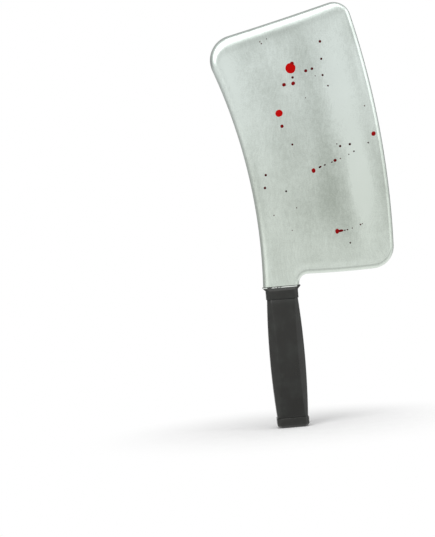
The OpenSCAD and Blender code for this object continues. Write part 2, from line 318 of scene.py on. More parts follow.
SIDE, UPRIGHT = 48, 72          # stations on the heel and toe sides, and on spine and edge
CORNER = 8                      # stations on half a corner's fillet
RIM_STEPS, BEAD_STEPS = 12, 6
GUARD = 0.0018                  # least way from a face's grid to the ring round it
# The strip's own clouds are painted light and shade on the rounded rim
EDGE_WIDTH = 0.016              # strip along the outline with clouds of its own
LATTICE = 0.0036                # spacing of the grid on the blade's faces
FLAT_STRIP, SAG_FADE = 0.010, 0.030     # strip along the rim without sag, and where it sets in
SAG_WAVES = ((0.075, 0.095, 3.7), (0.034, 0.042, 9.1))  # width, height, place in the noise


def blade_outline(s):
    """Closed chain of stations in four runs: heel side, cutting edge, toe and spine."""
    top = COLLAR_HIGH.z
    half = s.neck_width / 2
    neck_front, neck_back = Vector((half, top)), Vector((-half, top))
    heel_tip = Vector((s.heel_reach, top + s.heel_gap))
    toe_front = Vector((s.toe_front_x, top + s.toe_front_h))
    toe_back = Vector((-s.toe_back_x, top + s.toe_back_h))
    heel = arc_over(Vector((half, top + s.heel_gap)), heel_tip, s.heel_bow)
    edge = arc_over(heel_tip, toe_front, s.edge_bow)
    toe = arc_over(toe_front, toe_back, -s.toe_bow)
    spine = arc_over(toe_back, neck_back, -s.spine_bow)
    heel_c = fillet_centre(heel, edge, heel_tip, s.heel_r)
    front_c = fillet_centre(edge, toe, toe_front, s.toe_front_r)
    back_c = fillet_centre(toe, spine, toe_back, s.toe_back_r)
    throat = s.heel_gap - s.heel_bow
    reach = half + throat
    drop = math.sqrt((heel[1] + throat) ** 2 - (reach - heel[0].x) ** 2)
    throat_c = Vector((reach, heel[0].y - drop))
    left, right = Vector((-1, 0)), Vector((1, 0))
    neck_n, throat_n = 12, 8

    def fillet(c, r, a, b, first, last):
        return along(c, r, 1, touch(a, c), touch(b, c), CORNER, first, last)

    def arc(a, c0, c1, count):
        return along(*a, touch(a, c0), touch(a, c1), count)

    # The neck's foot is one straight run whose rings only narrow from the sides
    foot = []
    for i in range(neck_n):
        share = i / neck_n
        foot.append((neck_back.lerp(neck_front, share), left.lerp(right, share)))
    heel_side = (foot
                 + [(neck_front, right)]
                 + along(throat_c, throat, -1, Vector((half, throat_c.y)), touch(heel, throat_c),
                         throat_n - 1)
                 + arc(heel, throat_c, heel_c, SIDE - neck_n - throat_n - CORNER)
                 + fillet(heel_c, s.heel_r, heel, edge, 0, 0.5))
    cutting_edge = (fillet(heel_c, s.heel_r, heel, edge, 0.5, 1)
                    + arc(edge, heel_c, front_c, UPRIGHT - 2 * CORNER)
                    + fillet(front_c, s.toe_front_r, edge, toe, 0, 0.5))
    toe_side = (fillet(front_c, s.toe_front_r, edge, toe, 0.5, 1)
                + arc(toe, front_c, back_c, SIDE - 2 * CORNER)
                + fillet(back_c, s.toe_back_r, toe, spine, 0, 0.5))
    spine_side = (fillet(back_c, s.toe_back_r, toe, spine, 0.5, 1)
                  + along(*spine, touch(spine, back_c), neck_back, UPRIGHT - CORNER))
    return heel_side + cutting_edge + toe_side + spine_side


def side_tree(chain):
    """Finds the nearest station of the outline, without those of the neck's foot."""
    tree = kdtree.KDTree(len(chain))
    for index, (p, n) in enumerate(chain):
        if n.length > 0.99:
            tree.insert((p.x, p.y, 0), index)
    tree.balance()
    return tree


def eased(value):
    """Keeps a share between 0 and 1 and eases it in and out."""
    share = min(max(value, 0), 1)
    return share * share * (3 - 2 * share)


def sag(s, x, z, side, tree):
    """How far the face lies below its rim at a place, in soft waves that die out at the rim."""
    fade = eased((tree.find((x, z, 0))[2] - FLAT_STRIP) / SAG_FADE)
    broad, close = (noise.noise(Vector((x / wide, side * shift, z / high)))
                    for wide, high, shift in SAG_WAVES)
    return s.wave * fade * (0.5 + 0.42 * broad + 0.16 * close)


def rim_reach(s, index):
    """How far the rim's rounding reaches in from a station; it is wider along the toe, most at
    its spine corner."""
    first, last = SIDE + UPRIGHT - CORNER, SIDE + UPRIGHT + SIDE + CORNER
    share = eased(min(index - first, last - index) / (2 * CORNER))
    wide = s.toe_rim * (1 - s.toe_taper * (last - index) / (last - first))
    return s.side_rim + (wide - s.side_rim) * share


def sunk(s, z):
    """How far the face lies below the rim's crest at a height."""
    share = eased((z - s.toe_back_h) / (SHELL_HIGH.z - COLLAR_HIGH.z - s.toe_back_h))
    return s.sink + (s.toe_sink - s.sink) * share


def face_depth(s, x, z, side, tree):
    """How far the face lies from the parting plane at a place."""
    return RIM_DEPTH - sunk(s, z) - sag(s, x, z, side, tree)


def rim_profile(s):
    """Rings from the sunk face over the rim's crest to the parting line: how far each lies
    inside the rim's rounding, its share of that rounding, its share of the sinking, and of
    the rim's depth."""
    rings = []
    for k in range(1, BEAD_STEPS + 1):
        left = 1 - k / BEAD_STEPS
        rings.append((s.bead * left, 1, eased(left), 1))
    for k in range(1, RIM_STEPS + 1):
        angle = math.pi / 2 * k / RIM_STEPS
        rings.append((0, 1 - math.sin(angle), 0, math.cos(angle)))
    return rings


def blade_face(s, name, side, chain, tree):
    """Half the blade's face in edit mode: a grid trimmed to the outline, filled out to its ring."""
    across = math.ceil((SHELL_HIGH.x - SHELL_LOW.x) / LATTICE)
    upward = math.ceil((SHELL_HIGH.z - COLLAR_HIGH.z) / LATTICE)
    clear_selection()
    bpy.ops.mesh.primitive_grid_add(x_subdivisions=across, y_subdivisions=upward, size=2,
                                    location=(0, 0, 0))
    piece = start_piece(name)
    mesh = editing(piece)
    for v in mesh.verts:
        v.co = (SHELL_LOW.x + (v.co.x + 1) / 2 * across * LATTICE, side * RIM_DEPTH,
                COLLAR_HIGH.z + (v.co.y + 1) / 2 * upward * LATTICE)
    update(piece)

    def outside(v):
        _, index, reach = tree.find((v.co.x, v.co.z, 0))
        point, normal = chain[index]
        beyond = (Vector((v.co.x, v.co.z)) - point).dot(normal) > 0
        close = reach < rim_reach(s, index) + s.bead + GUARD
        return beyond or close or v.co.z < COLLAR_HIGH.z + GUARD

    select_where(piece, "verts", outside)
    bpy.ops.mesh.delete(type="VERT")
    select_all()
    bpy.ops.mesh.delete_loose()
    bpy.ops.mesh.primitive_circle_add(vertices=len(chain), radius=1, fill_type="NOTHING",
                                      location=(0, 0, 0))
    mesh = editing(piece)
    station = mesh.verts.layers.int.new("station")
    for v in mesh.verts:
        if not v.link_faces:
            v[station] = round(math.atan2(v.co.y, v.co.x) / math.tau * len(chain)) % len(chain)
            point, normal = chain[v[station]]
            place = point - normal * (rim_reach(s, v[station]) + s.bead)
            v.co = (place.x, side * RIM_DEPTH, place.y)
    update(piece)
    select_where(piece, "edges", lambda e: len(e.link_faces) < 2)
    bpy.ops.mesh.fill(use_beauty=True)
    return piece


def blade_shell(s, name, side, chain):
    """One half of the blade: its waved face, the rim extruded ring by ring, then its wall."""
    tree = side_tree(chain)
    piece = blade_face(s, name, side, chain, tree)
    for v in editing(piece).verts:
        v.co.y = side * face_depth(s, v.co.x, v.co.z, side, tree)
    update(piece)
    select_where(piece, "edges", lambda e: e.is_boundary)
    for inward, share, sinking, depth in rim_profile(s):
        bpy.ops.mesh.extrude_region()
        mesh = editing(piece)
        station = mesh.verts.layers.int["station"]
        for v in mesh.verts:
            if v.select:
                point, normal = chain[v[station]]
                place = point - normal * (rim_reach(s, v[station]) * share + inward)
                y = side * (RIM_DEPTH * depth - sunk(s, place.y) * sinking)
                v.co = (place.x, y, place.y)
        update(piece)
    close_piece()
    normals_out(piece)
    modifier(piece, "SOLIDIFY", thickness=s.wall, offset=-1)
    open_piece(piece)
    outer = {(round(p.x, 6), round(p.y, 6)) for p, _ in chain}

    def on_seam(v):
        return abs(v.co.y) < TOUCHING and (round(v.co.x, 6), round(v.co.z, 6)) in outer

    bevel_where(piece, on_seam, s.seam, 2)
    close_piece()
    edge = piece.data.attributes.new("edge", "FLOAT", "POINT")
    for v, value in zip(piece.data.vertices, edge.data):
        value.value = max(1 - tree.find((v.co.x, v.co.z, 0))[2] / EDGE_WIDTH, 0)
    return piece


# ---------- grip, collar, cap ----------

END_ROUND, HALF_ROUND = 0.0004, 0.0003          # rounding of a grip half's ends and seam
COLLAR_ROUND, CAP_ROUND, HEAD_ROUND = 0.0005, 0.0007, 0.0008
DISH_RIM, DISH_SLOPE, DISH_DEPTH = 0.0035, 0.0006, 0.0007       # the dish in the butt
SCREW_TIP = 0.002                               # length of a screw's point
# Half length, height above the head's crown and half width of the cross recess
CROSS_FOOT, CROSS_TOP = (0.0009, -0.0013, 0.00036), (0.0019, 0.0002, 0.00046)


def octagon(w, t, total):
    """Corners of an octagon with half sizes w and t whose long facets meet x + y = total."""
    return [(w, total - w), (total - t, t), (t - total, t), (-w, total - w),
            (-w, w - total), (t - total, -t), (total - t, -t), (w, w - total)]


def octagon_bar(name, levels):
    """Extrudes an octagon upwards through levels of (height, half width, half depth, total)."""
    clear_selection()
    bpy.ops.mesh.primitive_circle_add(vertices=8, radius=1, fill_type="NGON", location=(0, 0, 0))
    piece = start_piece(name)
    mesh = editing(piece)
    corner = mesh.verts.layers.int.new("corner")
    for v, (x, y) in zip(sorted(mesh.verts, key=lambda v: v.index), octagon(*levels[0][1:])):
        v[corner] = v.index
        v.co = (x, y, levels[0][0])
    update(piece)
    bpy.ops.mesh.select_mode(type="FACE")
    select_all()
    for height, *sizes in levels[1:]:
        bpy.ops.mesh.extrude_region()
        mesh = editing(piece)
        corner = mesh.verts.layers.int["corner"]
        places = octagon(*sizes)
        for v in mesh.verts:
            if v.select:
                v.co = (*places[v[corner]], height)
        update(piece)
    select_all()
    bpy.ops.mesh.normals_make_consistent(inside=False)
    close_piece()
    return piece


def grip_total(g):
    return g.width / 2 + g.depth / 2 - g.facet


def end_sizes(g, proud=0.0):
    """Half width, half depth and facet total of the grip's ends, or of a form proud of them."""
    return (g.width / 2 - g.swell_w + proud, g.depth / 2 - g.swell_t + proud,
            grip_total(g) + proud * math.sqrt(2))


def swollen(a, swell, half_length, offset):
    r = (half_length ** 2 + swell ** 2) / (2 * swell)
    return a - r + math.sqrt(r * r - offset * offset)


def screw_heights(g):
    middle = (SCREW_LOW.z + SCREW_HIGH.z) / 2
    return [middle + g.screw_pitch, middle, middle - g.screw_pitch]


# ---------- materials ----------

def socket(tree, value, target):
    """Links an output to an input, or sets the input's own value."""
    if isinstance(value, bpy.types.NodeSocket):
        tree.links.new(value, target)
        return
    if isinstance(value, tuple) and len(value) == 3 and len(target.default_value) == 4:
        value = (*value, 1)
    target.default_value = value


def add(tree, kind, settings=None, **inputs):
    """Adds a node, gives it settings, and fills its inputs by name or number."""
    made = tree.nodes.new(kind)
    for key, value in (settings or {}).items():
        setattr(made, key, value)
    for key, value in inputs.items():
        key = key.replace("_", " ")
        numbered = key.startswith("in") and key[2:].isdigit()
        socket(tree, value, made.inputs[int(key[2:]) if numbered else key])
    return made


def maths(tree, operation, a, b=0.0):
    return add(tree, "ShaderNodeMath", {"operation": operation}, in0=a, in1=b).outputs[0]


def times(tree, a, b):
    return maths(tree, "MULTIPLY", a, b)


def plus(tree, a, b):
    return maths(tree, "ADD", a, b)


def vector(tree, operation, **inputs):
    return add(tree, "ShaderNodeVectorMath", {"operation": operation}, **inputs).outputs


def parts(tree, place):
    """The X, Y and Z of a place or a direction."""
    return add(tree, "ShaderNodeSeparateXYZ", Vector=place).outputs


def attribute(tree, name):
    return add(tree, "ShaderNodeAttribute", {"attribute_name": name}).outputs["Fac"]


def ramp(tree, value, low, high, to_low=0.0, to_high=1.0):
    """Eases a value from one range into another."""
    return add(tree, "ShaderNodeMapRange", {"interpolation_type": "SMOOTHSTEP"}, Value=value,
               From_Min=low, From_Max=high, To_Min=to_low, To_Max=to_high).outputs[0]


def mix(tree, share, a, b):
    return add(tree, "ShaderNodeMix", {"data_type": "FLOAT"}, in0=share, in2=a, in3=b).outputs[0]


def blend(tree, share, a, b, mode="MIX"):
    made = tree.nodes.new("ShaderNodeMix")
    made.data_type, made.blend_type = "RGBA", mode
    for index, value in ((0, share), (6, a), (7, b)):
        socket(tree, value, made.inputs[index])
    return made.outputs[2]


def noise_at(tree, place, scale, detail=2.0, rough=0.5):
    return add(tree, "ShaderNodeTexNoise", Vector=place, Scale=scale, Detail=detail,
               Roughness=rough).outputs[0]


def stretched(tree, place, turn, scale):
    return add(tree, "ShaderNodeMapping", Vector=place, Rotation=turn, Scale=scale).outputs[0]


def node_group(name, inputs, outputs):
    """A new shader node group with its sockets, and its two end nodes."""
    tree = bpy.data.node_groups.new(name, "ShaderNodeTree")
    for label, kind, default in inputs:
        made = tree.interface.new_socket(name=label, in_out="INPUT", socket_type=kind)
        if default is not None:
            made.default_value = default
    for label, kind in outputs:
        tree.interface.new_socket(name=label, in_out="OUTPUT", socket_type=kind)
    return tree, tree.nodes.new("NodeGroupInput").outputs, tree.nodes.new("NodeGroupOutput").inputs


def scuff_group():
    """Thin handling marks in two directions, and finger smears, as masks."""
    if "Handling marks" in bpy.data.node_groups:
        return bpy.data.node_groups["Handling marks"]
    tree, given, result = node_group(
        "Handling marks",
        [("Place", "NodeSocketVector", None), ("Amount", "NodeSocketFloat", 0.5)],
        [("Scratches", "NodeSocketFloat"), ("Smears", "NodeSocketFloat")])
    lines = []
    for turn, scale in (((0, 0.5, 0.3), (520, 520, 16)), ((0.2, -0.9, 0), (430, 430, 20))):
        fine = noise_at(tree, stretched(tree, given["Place"], turn, scale), 1.0, 1.0)
        lines.append(ramp(tree, fine, 0.70, 0.78))
    patches = ramp(tree, noise_at(tree, given["Place"], 26, 2.0), 0.50, 0.68)
    both = maths(tree, "MAXIMUM", *lines)
    scratches = times(tree, times(tree, both, patches), given["Amount"])
    smear = noise_at(tree, stretched(tree, given["Place"], (0, 0.35, 0), (60, 60, 22)),
                     1.0, 3.0, 0.6)
    smears = times(tree, ramp(tree, smear, 0.45, 0.75), given["Amount"])
    socket(tree, scratches, result["Scratches"])
    socket(tree, smears, result["Smears"])
    return tree


def grain_group():
    """Fine moulded or sprayed grain with a softer swell under it, as a height."""
    if "Surface grain" in bpy.data.node_groups:
        return bpy.data.node_groups["Surface grain"]
    tree, given, result = node_group(
        "Surface grain",
        [("Place", "NodeSocketVector", None), ("Fine", "NodeSocketFloat", 1800.0),
         ("Swell", "NodeSocketFloat", 160.0), ("Swell share", "NodeSocketFloat", 0.5)],
        [("Height", "NodeSocketFloat"), ("Speckle", "NodeSocketFloat")])
    fine = noise_at(tree, given["Place"], given["Fine"], 2.0, 0.6)
    swell = noise_at(tree, given["Place"], given["Swell"], 2.0)
    socket(tree, mix(tree, given["Swell share"], fine, swell), result["Height"])
    socket(tree, fine, result["Speckle"])
    return tree


def new_material(name, base):
    """A material with its tree, its Principled shader and the Object coordinates."""
    made = bpy.data.materials.new(name)
    made.use_nodes = True
    tree = made.node_tree
    shader = tree.nodes["Principled BSDF"]
    place = tree.nodes.new("ShaderNodeTexCoord").outputs["Object"]
    made.diffuse_color = (*base, 1)
    return made, tree, shader, place


def group(tree, which, **inputs):
    return add(tree, "ShaderNodeGroup", {"node_tree": which}, **inputs).outputs


def bump(tree, height, strength, distance):
    return add(tree, "ShaderNodeBump", Height=height, Strength=strength,
               Distance=distance).outputs["Normal"]


# Soft clouds in the silver, partly the paint's own cloudiness and partly painted reflection of the
# light and dark bands a satin face shows, dark where positive and pale where negative: across and
# height in millimetres, half sizes, and strength
CLOUD_AND_REFLECTION_SPOTS = (
    (74, 189, 36, 120, 0.59), (81, 242, 28, 110, -0.74), (-8, 249, 21, 71, -0.16),
    (57, 222, 120, 68, 0.24), (15, 111, 31, 34, -0.37), (47, 161, 53, 47, 0.41),
    (75, 318, 39, 80, -0.19), (96, 189, 19, 74, -0.85), (47, 322, 28, 49, 0.47),
    (102, 117, 14, 34, -0.11), (-42, 277, 28, 116, -0.51), (3, 361, 71, 26, 0.39),
    (13, 111, 60, 34, 0.36), (6, 290, 29, 45, 0.25), (56, 276, 24, 40, 0.27),
    (-8, 215, 24, 35, -0.19),
)
# The same for a tone painted along the outline as the light and shade reflected on the rounded rim
RIM_PAINTED_LIGHT = ((-25, 180, 45, 85, 0.50), (126, 180, 45, 95, 0.55), (90, 350, 45, 40, 0.45))
RIM_PAINTED_TONE = 0.06                 # how dark that tone is between its clouds


def soft_spots(tree, place, spots):
    """Sum of soft oval clouds laid out over the face."""
    total = 0.0
    for x, z, wide, high, strength in spots:
        scale = (1 / (wide * MM), 0, 1 / (high * MM))
        centred = vector(tree, "SUBTRACT", in0=place, in1=(x * MM, 0, z * MM))[0]
        ray = vector(tree, "MULTIPLY", in0=centred, in1=scale)[0]
        apart = vector(tree, "LENGTH", in0=ray)["Value"]
        total = plus(tree, total, ramp(tree, apart, 1.0, 0.0, 0, strength))
    return total


def silver_paint(f):
    made, tree, shader, place = new_material("silver_paint", tuple(f.silver_light))
    drift = noise_at(tree, stretched(tree, place, (0, 0.12, 0), (1, 1, 0.4)), 26, 2.0, 0.45)
    mottle = noise_at(tree, place, 70, 4.0, 0.6)
    wander = add(tree, "ShaderNodeTexNoise", Vector=place, Scale=22, Detail=1.0).outputs["Color"]
    bent = vector(tree, "MULTIPLY_ADD", in0=wander, in1=(0.03, 0.03, 0.03), in2=place)[0]
    strands = noise_at(tree, stretched(tree, bent, (0, 0.7, 0), (620, 620, 70)), 1.0, 2.0)
    crossed = noise_at(tree, stretched(tree, bent, (0, -0.6, 0), (560, 560, 80)), 1.0, 2.0)
    marks = group(tree, scuff_group(), Place=place, Amount=0.5)
    grain = group(tree, grain_group(), Place=place, Fine=2600.0, Swell=190.0, Swell_share=0.6)
    # The back has the same clouds of paint and painted reflection, but fainter
    lies = parts(tree, place)
    clouds = times(tree, soft_spots(tree, place, CLOUD_AND_REFLECTION_SPOTS),
                   ramp(tree, lies["Y"], -0.004, 0.004, 1.0, 0.5))
    shade = plus(tree, clouds, ramp(tree, drift, 0.30, 0.70, 0.165, 0.327))
    # Along the outline the tone is more even, painted in as the rim's reflected light and shade,
    # and palest at the parting line
    edge = attribute(tree, "edge")
    rim = times(tree, soft_spots(tree, place, RIM_PAINTED_LIGHT), ramp(tree, edge, 0.98, 0.75))
    shade = mix(tree, ramp(tree, edge, 0.05, 0.6), shade, plus(tree, rim, RIM_PAINTED_TONE))
    for figure, reach in ((mottle, 0.05), (noise_at(tree, place, 150, 2.0), 0.05), (strands, 0.065),
                          (crossed, 0.055), (noise_at(tree, place, 800, 1.0), 0.10)):
        shade = plus(tree, shade, ramp(tree, figure, 0.30, 0.70, -reach, reach))
    shade = maths(tree, "MAXIMUM", maths(tree, "MINIMUM", shade, 1.0), 0.0)
    tone = blend(tree, shade, tuple(f.silver_light), tuple(f.silver_dark))
    tint = blend(tree, ramp(tree, lies["Z"], 0.13, 0.33), (0.99, 1.0, 0.968), (0.985, 1.0, 1.012))
    tone = blend(tree, 1.0, tone, tint, "MULTIPLY")
    tone = blend(tree, ramp(tree, grain["Speckle"], 0.3, 0.7, 0.0, 0.10), tone, (0.80, 0.82, 0.80))
    tone = blend(tree, times(tree, marks["Scratches"], 0.14), tone, (0.80, 0.82, 0.81))
    socket(tree, tone, shader.inputs["Base Color"])
    rough = ramp(tree, mottle, 0.3, 0.7, 0.28, 0.32)
    rough = plus(tree, rough, times(tree, marks["Smears"], 0.025))
    socket(tree, rough, shader.inputs["Roughness"])
    socket(tree, bump(tree, grain["Height"], 0.35, 0.00012), shader.inputs["Normal"])
    shader.inputs["Metallic"].default_value = 0.82
    shader.inputs["Coat Weight"].default_value = 0.15
    shader.inputs["Coat Roughness"].default_value = 0.18
    return made


def black_plastic(f):
    made, tree, shader, place = new_material("black_plastic", tuple(f.black))
    marks = group(tree, scuff_group(), Place=place, Amount=0.6)
    grain = group(tree, grain_group(), Place=place, Fine=2200.0, Swell=240.0, Swell_share=0.3)
    wear = noise_at(tree, place, 55, 3.0, 0.55)
    tone = blend(tree, ramp(tree, wear, 0.4, 0.75, 0.0, 0.5), tuple(f.black), (0.026, 0.031, 0.027))
    tone = blend(tree, times(tree, marks["Scratches"], 0.30), tone, (0.10, 0.11, 0.105))
    # The collar's lip is rubbed glossier, and a broken pale line in the blade's silver tone is
    # painted along it as a painted highlight
    height, top = parts(tree, place)["Z"], COLLAR_HIGH.z
    rubbed = ramp(tree, height, top - 0.0016, top - 0.0008)
    line = times(tree, ramp(tree, height, top - 0.0018, top - 0.0013),
                 ramp(tree, height, top - 0.0005, top - 0.0008))
    # Painted highlight: a broken pale band standing in for the glints along the lip
    painted_glint = times(tree, line, ramp(tree, noise_at(tree, place, 95, 2.0), 0.44, 0.50))
    tone = blend(tree, painted_glint, tone, (0.80, 0.84, 0.80))
    socket(tree, tone, shader.inputs["Base Color"])
    rough = ramp(tree, wear, 0.3, 0.7, 0.27, 0.40)
    rough = plus(tree, rough, times(tree, marks["Smears"], 0.14))
    rough = maths(tree, "SUBTRACT", rough, times(tree, rubbed, 0.17))
    socket(tree, rough, shader.inputs["Roughness"])
    socket(tree, bump(tree, grain["Height"], 0.5, 0.0002), shader.inputs["Normal"])
    shader.inputs["Specular IOR Level"].default_value = 0.42
    return made


def screw_steel(f):
    made, tree, shader, place = new_material("screw_steel", tuple(f.steel))
    marks = group(tree, scuff_group(), Place=place, Amount=1.0)
    grain = group(tree, grain_group(), Place=place, Fine=3500.0, Swell=900.0, Swell_share=0.5)
    tone = blend(tree, ramp(tree, grain["Speckle"], 0.35, 0.65), (0.46, 0.47, 0.49), tuple(f.steel))
    tone = blend(tree, marks["Smears"], tone, (0.60, 0.59, 0.54))
    socket(tree, tone, shader.inputs["Base Color"])
    socket(tree, ramp(tree, grain["Speckle"], 0.3, 0.7, 0.24, 0.40), shader.inputs["Roughness"])
    socket(tree, bump(tree, grain["Height"], 0.4, 0.00006), shader.inputs["Normal"])
    shader.inputs["Metallic"].default_value = 1.0
    return made


def core_plastic(f):
    made, tree, shader, place = new_material("stiffener_plastic", tuple(f.core))
    grain = group(tree, grain_group(), Place=place, Fine=1500.0, Swell=120.0, Swell_share=0.5)
    tone = blend(tree, ramp(tree, grain["Speckle"], 0.3, 0.7), tuple(f.core), (0.12, 0.12, 0.13))
    socket(tree, tone, shader.inputs["Base Color"])
    shader.inputs["Roughness"].default_value = 0.62
    socket(tree, bump(tree, grain["Height"], 0.4, 0.0002), shader.inputs["Normal"])
    return made


def drop_paint(f):
    """Red where a drop is thick, dark where it has dried thin; "pool" is each drop's thickness."""
    made, tree, shader, place = new_material("drop_paint", tuple(f.wet))
    ripple = noise_at(tree, place, 300, 2.0)
    grain = group(tree, grain_group(), Place=place, Fine=2600.0, Swell=420.0, Swell_share=0.8)
    tone = blend(tree, attribute(tree, "pool"), tuple(f.dry), tuple(f.wet))
    tone = blend(tree, ramp(tree, ripple, 0.35, 0.7, 0.0, 0.2), tone, (0.25, 0.0, 0.0))
    socket(tree, tone, shader.inputs["Base Color"])
    socket(tree, ramp(tree, ripple, 0.3, 0.7, 0.22, 0.36), shader.inputs["Roughness"])
    socket(tree, bump(tree, grain["Height"], 0.3, 0.0001), shader.inputs["Normal"])
    shader.inputs["Specular IOR Level"].default_value = 0.08
    return made


MAKERS = {"silver_paint": silver_paint, "black_plastic": black_plastic, "screw_steel": screw_steel,
          "stiffener_plastic": core_plastic, "drop_paint": drop_paint}
MADE = {}


def material(name):
    """The named material, made the first time it is asked for."""
    if name not in MADE:
        MADE[name] = MAKERS[name](bpy.context.scene.cleaver_finish)
    return MADE[name]


# ---------- paint drops ----------

# Across, height and radius in millimetres, stretch along the lean, and the lean in degrees
DROPS = (
    (30.7, 314.3, 5.6, 1.03, 70), (32.6, 318.9, 2.3, 1.1, 80), (32.0, 303.9, 1.4, 1, 0),
    (32.1, 297.4, 2.1, 1.1, 40), (22.0, 296.8, 2.0, 1.1, 10), (47.0, 309.9, 1.7, 1.1, 0),
    (53.9, 311.6, 1.5, 1.1, 30), (65.2, 340.6, 1.5, 1, 0), (65.0, 321.5, 1.3, 1, 0),
    (13.9, 266.1, 3.9, 1.06, 20), (15.8, 251.7, 1.9, 1, 0), (114.9, 235.0, 2.4, 1.1, 60),
    (-6.6, 199.9, 1.4, 1, 0), (-8.7, 186.0, 1.4, 1.1, 50), (46.0, 200.5, 2.3, 1.15, 85),
    (53.4, 203.7, 1.2, 1.6, 30), (70.5, 209.5, 1.7, 1.1, 26), (77.3, 224.6, 1.3, 1, 0),
    (88.1, 225.8, 1.3, 1.1, 10), (66.0, 132.1, 2.3, 1.25, 86), (69.6, 132.2, 1.8, 2.0, 4),
    (64.9, 303.7, 1.2, 1, 0), (69.8, 291.6, 1.0, 1, 0), (56.8, 303.5, 0.6, 1, 0),
    (44.2, 280.5, 0.6, 1, 0), (107.7, 266.1, 0.7, 1, 0), (-0.3, 345.8, 0.7, 1, 0),
    (1.2, 343.8, 0.7, 1.3, 40), (7.1, 348.4, 0.6, 1, 0), (25.3, 230.8, 1.2, 1, 0),
    (14.1, 180.4, 1.1, 1, 0), (24.0, 161.4, 0.7, 1, 0), (-1.5, 155.3, 0.7, 1, 0),
    (17.0, 137.3, 0.6, 1, 0), (58.8, 205.5, 0.9, 1.3, 26), (66.8, 207.9, 0.8, 1.3, 26),
    (76.4, 211.0, 0.7, 1, 26), (86.0, 214.7, 0.7, 1, 26), (91.9, 217.6, 0.9, 1.1, 26),
    (73.9, 227.2, 0.7, 1, 0), (108.2, 225.6, 0.9, 1, 0), (74.4, 132.4, 0.8, 1.2, 6),
    (77.3, 132.8, 0.8, 1.2, 8), (82.6, 134.0, 0.7, 1, 14), (92.1, 137.1, 0.9, 1.2, 14),
    (94.2, 137.9, 0.6, 1, 14), (79.1, 118.2, 1.0, 1, 0),
)

DROP_RISE, DROP_LEAST, DROP_LIMIT = 0.16, 0.12, 0.5     # share of the radius, millimetres
DROP_SUNK = 0.00004             # how deep a drop's rim lies in the face
DROP_UNEVEN = 0.07              # how much a drop's edge wanders, as a share of its radius
THIN_DROP, THICK_DROP = 1.3, 3.3        # radii in millimetres of a dry speck and a wet drop


def paint_drop(s, tree, x, z, r, stretch, lean, height):
    """A thin domed drop that lies on the front face, with a slightly uneven edge."""
    clear_selection()
    bpy.ops.mesh.primitive_uv_sphere_add(segments=28, ring_count=14, radius=1, location=(0, 0, 0))
    piece = start_piece("drop")
    select_all()
    bpy.ops.mesh.bisect(plane_co=(0, 0, 0), plane_no=(0, 0, 1), use_fill=True, clear_inner=True)
    mesh = editing(piece)
    foot = DROP_SUNK - face_depth(s, x, z, -1, tree)
    turn = Matrix.Rotation(math.radians(lean), 2)
    for v in mesh.verts:
        around = math.atan2(v.co.y, v.co.x)
        ray = Vector((math.cos(around) * 1.3 + x, math.sin(around) * 1.3, z))
        uneven = 1 + DROP_UNEVEN * noise.noise(ray)
        flat = turn @ Vector((v.co.x * stretch * uneven, v.co.y * uneven / stretch ** 0.3)) * r
        v.co = (x + flat.x, foot - height * max(v.co.z, 0) ** 0.8, z + flat.y)
    update(piece)
    close_piece()
    normals_out(piece)
    pool = piece.data.attributes.new("pool", "FLOAT", "POINT")
    share = min(max((r / MM - THIN_DROP) / (THICK_DROP - THIN_DROP), 0), 1)
    for value in pool.data:
        value.value = share
    return piece


# ---------- operators ----------

class CLEAVER_OT_blade(bpy.types.Operator):
    """Models the blade's two silver half shells with their rounded rims"""
    bl_idname = "cleaver.blade"
    bl_label = "Blade shells"

    def execute(self, context):
        s = context.scene.cleaver_blade
        chain = blade_outline(s)
        for name, side, node in (("blade_front", -1, "blade_front_shell"),
                                 ("blade_back", 1, "blade_back_shell")):
            dress(blade_shell(s, name, side, chain), "silver_paint", node, 32)
        return {"FINISHED"}


class CLEAVER_OT_core(bpy.types.Operator):
    """Gives the hidden stiffener bar its plastic"""
    bl_idname = "cleaver.core"
    bl_label = "Stiffener bar"

    def execute(self, context):
        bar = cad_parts["tang_stiffener"]
        for place in bar.material_slots:
            place.material = material("stiffener_plastic")
        return {"FINISHED"}


class CLEAVER_OT_grip(bpy.types.Operator):
    """Models the grip's front and back halves, with the screws' counterbores"""
    bl_idname = "cleaver.grip"
    bl_label = "Grip halves"

    def execute(self, context):
        g = context.scene.cleaver_grip
        low, high = CAP_HIGH.z, COLLAR_LOW.z
        middle, half = (low + high) / 2, (high - low) / 2
        steps = 28
        levels = []
        for i in range(steps + 1):
            z = low + (high - low) * i / steps
            levels.append((z, swollen(g.width / 2, g.swell_w, half, z - middle),
                           swollen(g.depth / 2, g.swell_t, half, z - middle), grip_total(g)))
        for name, side, node in (("grip_front", -1, "handle_front_half"),
                                 ("grip_back", 1, "handle_back_half")):
            piece = octagon_bar(name, levels)
            self.round_long_edges(piece, g, low, high)
            self.keep_half(piece, side)
            if side > 0:
                self.counterbore(piece, g)
            dress(piece, "black_plastic", node, 28)
        return {"FINISHED"}

    def round_long_edges(self, piece, g, low, high):
        open_piece(piece)
        select_where(piece, "edges", lambda e: abs(e.verts[0].co.z - e.verts[1].co.z) > LEVEL)
        bpy.ops.mesh.bevel(offset=g.edge_round, segments=4, affect="EDGES")
        bevel_where(piece, lambda v: min(abs(v.co.z - low), abs(v.co.z - high)) < LEVEL,
                    END_ROUND, 2)
        close_piece()

    def keep_half(self, piece, side):
        open_piece(piece)
        select_all()
        bpy.ops.mesh.bisect(plane_co=(0, 0, 0), plane_no=(0, side, 0), use_fill=True,
                            clear_inner=True)
        bevel_where(piece, lambda v: abs(v.co.y) < TOUCHING, HALF_ROUND, 2)
        close_piece()
        normals_out(piece)

    def counterbore(self, piece, g):
        seat = SCREW_HIGH.y - g.head_h
        for z in screw_heights(g):
            clear_selection()
            bpy.ops.mesh.primitive_cylinder_add(vertices=48, radius=g.head_d / 2 + g.head_gap,
                                                depth=0.02, location=(0, seat + 0.01, z),
                                                rotation=(math.pi / 2, 0, 0))
            cut(piece, bpy.context.object)


